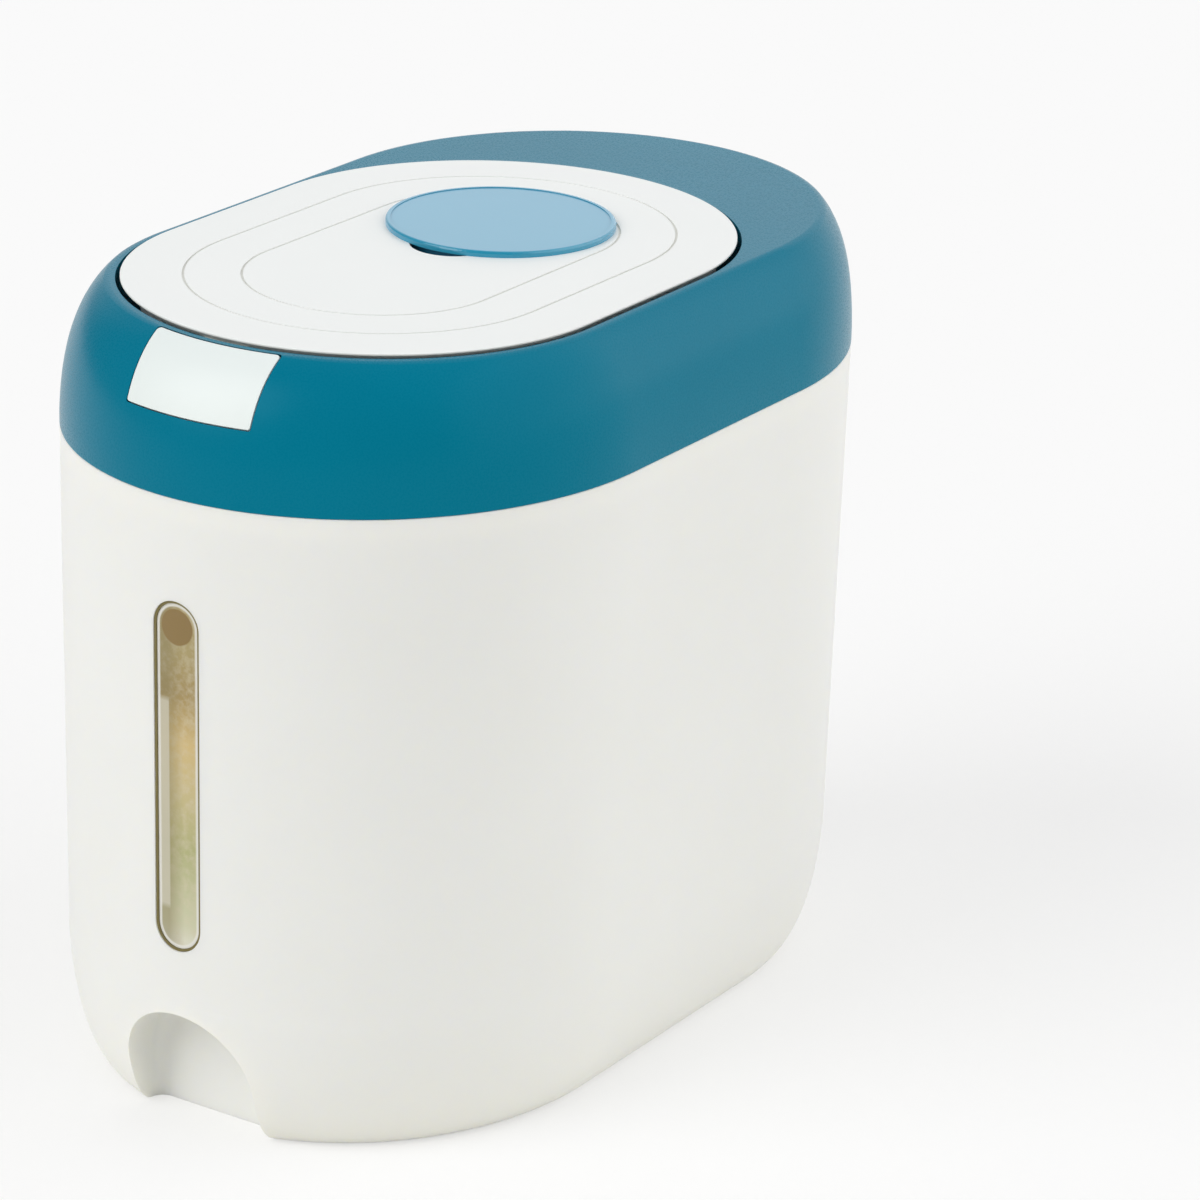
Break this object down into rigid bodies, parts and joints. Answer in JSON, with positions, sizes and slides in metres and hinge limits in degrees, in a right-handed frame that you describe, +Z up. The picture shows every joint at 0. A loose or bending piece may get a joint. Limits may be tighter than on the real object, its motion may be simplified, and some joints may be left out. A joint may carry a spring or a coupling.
{
  "type": "dry food container",
  "caption": "Tall oval kitchen bin for dry food, with a level window, a collar, a flip lid on a hidden hinge, a front press tile and a lift-out round drying cap.",
  "frame": {"origin": "on the floor under the middle of the bin", "axes": "+Z up, +Y from the front with the window and press tile to the hinge end, +X across"},
  "size_m": [0.211, 0.34, 0.2857],
  "materials": {
    "bin_white": "satin moulded polypropylene",
    "window_clear": "clear polished",
    "gasket_grey": "soft matt",
    "seal_silicone": "translucent silicone",
    "frame_white": "moulded",
    "collar_blue": "satin gloss",
    "steel": "bright zinc",
    "lid_white": "satin moulded",
    "catch_white": "acetal",
    "cup_blue": "moulded",
    "cap_blue": "satin gloss",
    "button_white": "gloss"
  },
  "bodies": {
    "base": {"bin_body": "bin_white", "window_lens": "window_clear", "window_gasket": "gasket_grey", "rim_seal": "seal_silicone", "top_frame": "frame_white", "collar": "collar_blue", "frame_screws": "steel", "hinge_pin": "steel", "lid_spring_left": "steel", "lid_spring_right": "steel", "button_spring_left": "steel", "button_spring_right": "steel"},
    "lid": {"lid_panel": "lid_white", "lid_liner": "frame_white", "lid_seal": "seal_silicone", "lid_screws": "steel", "lid_catch": "catch_white", "catch_screws": "steel", "desiccant_cup": "cup_blue"},
    "cap": {"desiccant_cap": "cap_blue", "cap_seal": "seal_silicone"},
    "button": {"latch_button": "button_white"}
  },
  "joints": [
    {"name": "lid_hinge", "type": "hinge", "parent": "base", "child": "lid", "pos_m": [0, 0.1154, 0.276], "axis": [-1, 0, 0], "range_deg": [0, 92], "deforming": ["lid_spring_left", "lid_spring_right", "lid_catch"]},
    {"name": "cap_lift", "type": "slide", "parent": "lid", "child": "cap", "axis": [0, 0, 1], "range_m": [0, 0.04]},
    {"name": "button_press", "type": "slide", "parent": "base", "child": "button", "axis": [0, 0.7737, -0.6336], "range_m": [0, 0.0028], "stiffness_N_per_m": 400, "deforming": ["button_spring_left", "button_spring_right", "lid_catch"]}
  ]
}
